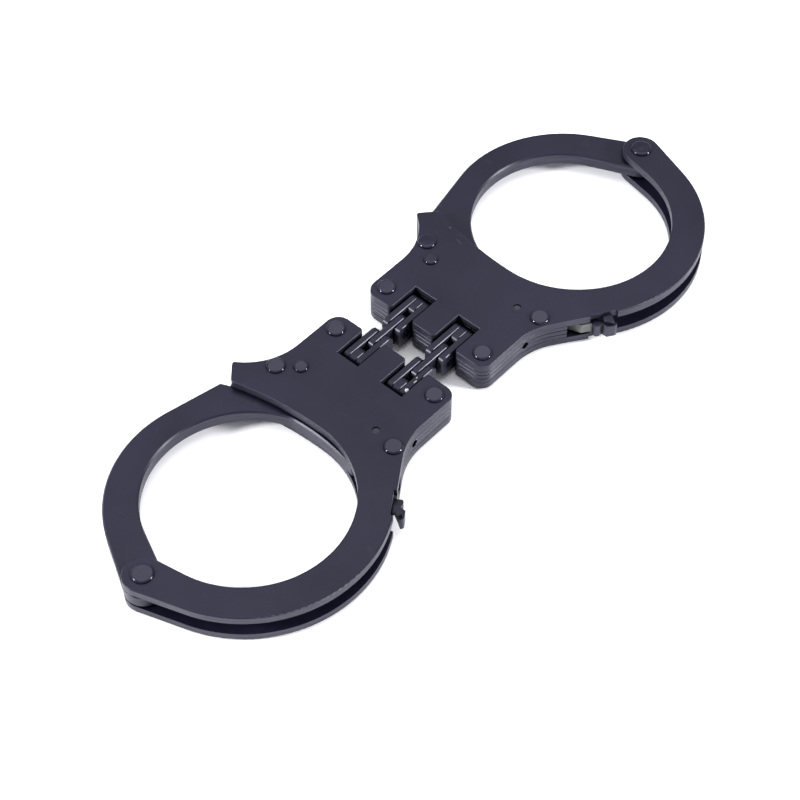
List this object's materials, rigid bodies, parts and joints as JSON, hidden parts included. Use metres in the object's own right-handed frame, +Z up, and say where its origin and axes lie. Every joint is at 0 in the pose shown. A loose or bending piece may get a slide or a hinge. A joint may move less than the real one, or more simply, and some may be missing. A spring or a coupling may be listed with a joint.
{
  "type": "handcuffs",
  "caption": "Black steel hinged handcuffs, lying flat, unfolded and locked: two mirror-image cuffs joined by two link hinges, with working lock works inside.",
  "frame": {"origin": "On the resting plane, under the middle of the whole part's box; the two cuffs are mirror images about X = 0.", "axes": "+X along the length, from the left cuff to the right cuff; +Y towards the raised shoulders of the lock bodies, away from the thumb levers; +Z up through the thickness, out of the upper cheeks"},
  "size_m": [0.2316, 0.0818, 0.012],
  "materials": {
    "black_steel": "satin black coating on steel plate, worn at the edges",
    "inner_plate_steel": "satin black coating, slightly duller than the cheeks",
    "link_steel": "semi-gloss black coating on hinge links",
    "black_rivet": "glossy black rivets and pins, bright at the rims",
    "bare_steel": "bare machined steel of the lock works",
    "spring_steel": "tempered leaf spring"
  },
  "bodies": {
    "left_cuff": {"left_cheek_top": "black_steel", "left_cheek_bottom": "black_steel", "left_spacer_lower": "inner_plate_steel", "left_spacer_middle": "inner_plate_steel", "left_spacer_middle_tail": "inner_plate_steel", "left_spacer_upper": "inner_plate_steel", "left_strand_pivot_rivet": "black_rivet", "left_frame_rivets": "black_rivet", "left_pawl_pivot_rivet": "black_rivet", "left_key_post": "black_rivet", "left_pawl_spring": "spring_steel", "left_frame_pins": "bare_steel"},
    "left_swinging_strand": {"left_strand": "black_steel"},
    "left_pawl_and_lever": {"left_pawl": "bare_steel", "left_release_lever": "black_steel"},
    "left_double_lock": {"left_double_lock_bar": "bare_steel", "left_double_lock_push_pin": "bare_steel"},
    "left_outer_links": {"rear_hinge_left_rear_link": "link_steel", "rear_hinge_left_front_link": "link_steel", "rear_hinge_left_filler_plate": "link_steel", "front_hinge_left_rear_link": "link_steel", "front_hinge_left_front_link": "link_steel", "front_hinge_left_filler_plate": "link_steel", "left_link_pins": "black_rivet"},
    "centre_links": {"rear_hinge_centre_link": "link_steel", "front_hinge_centre_link": "link_steel"},
    "right_outer_links": {"rear_hinge_right_rear_link": "link_steel", "rear_hinge_right_front_link": "link_steel", "rear_hinge_right_filler_plate": "link_steel", "front_hinge_right_rear_link": "link_steel", "front_hinge_right_front_link": "link_steel", "front_hinge_right_filler_plate": "link_steel", "right_link_pins": "black_rivet"},
    "right_cuff": {"right_cheek_top": "black_steel", "right_cheek_bottom": "black_steel", "right_spacer_lower": "inner_plate_steel", "right_spacer_middle": "inner_plate_steel", "right_spacer_middle_tail": "inner_plate_steel", "right_spacer_upper": "inner_plate_steel", "right_strand_pivot_rivet": "black_rivet", "right_frame_rivets": "black_rivet", "right_pawl_pivot_rivet": "black_rivet", "right_key_post": "black_rivet", "right_pawl_spring": "spring_steel", "right_frame_pins": "bare_steel"},
    "right_swinging_strand": {"right_strand": "black_steel"},
    "right_pawl_and_lever": {"right_pawl": "bare_steel", "right_release_lever": "black_steel"},
    "right_double_lock": {"right_double_lock_bar": "bare_steel", "right_double_lock_push_pin": "bare_steel"}
  },
  "joints": [
    {"name": "fold_1", "type": "hinge", "parent": "left_cuff", "child": "left_outer_links", "pos_m": [-0.012, 0, 0.006], "axis": [0, 1, 0], "range_deg": [-45, 45]},
    {"name": "fold_2", "type": "hinge", "parent": "left_outer_links", "child": "centre_links", "pos_m": [-0.0046, 0, 0.006], "axis": [0, 1, 0], "range_deg": [-45, 45]},
    {"name": "fold_3", "type": "hinge", "parent": "centre_links", "child": "right_outer_links", "pos_m": [0.0046, 0, 0.006], "axis": [0, 1, 0], "range_deg": [-45, 45]},
    {"name": "fold_4", "type": "hinge", "parent": "right_outer_links", "child": "right_cuff", "pos_m": [0.012, 0, 0.006], "axis": [0, 1, 0], "range_deg": [-45, 45]},
    {"name": "left_strand_swing", "type": "hinge", "parent": "left_cuff", "child": "left_swinging_strand", "pos_m": [-0.11, 0.0026, 0.006], "axis": [0, 0, -1], "continuous": true},
    {"name": "left_pawl_lift", "type": "hinge", "parent": "left_cuff", "child": "left_pawl_and_lever", "pos_m": [-0.0287, 0.021, 0.006], "axis": [0, 0, 1], "range_deg": [0, 2.6], "stiffness_Nm_per_rad": 0.05, "springref_deg": -2.86, "deforming": ["left_pawl_spring"]},
    {"name": "left_double_lock_slide", "type": "slide", "parent": "left_cuff", "child": "left_double_lock", "axis": [0, -1, 0], "range_m": [-0.0034, 0]},
    {"name": "right_strand_swing", "type": "hinge", "parent": "right_cuff", "child": "right_swinging_strand", "pos_m": [0.11, 0.0026, 0.006], "axis": [0, 0, 1], "continuous": true},
    {"name": "right_pawl_lift", "type": "hinge", "parent": "right_cuff", "child": "right_pawl_and_lever", "pos_m": [0.0287, 0.021, 0.006], "axis": [0, 0, -1], "range_deg": [0, 2.6], "stiffness_Nm_per_rad": 0.05, "springref_deg": -2.86, "deforming": ["right_pawl_spring"]},
    {"name": "right_double_lock_slide", "type": "slide", "parent": "right_cuff", "child": "right_double_lock", "axis": [0, -1, 0], "range_m": [-0.0034, 0]}
  ]
}
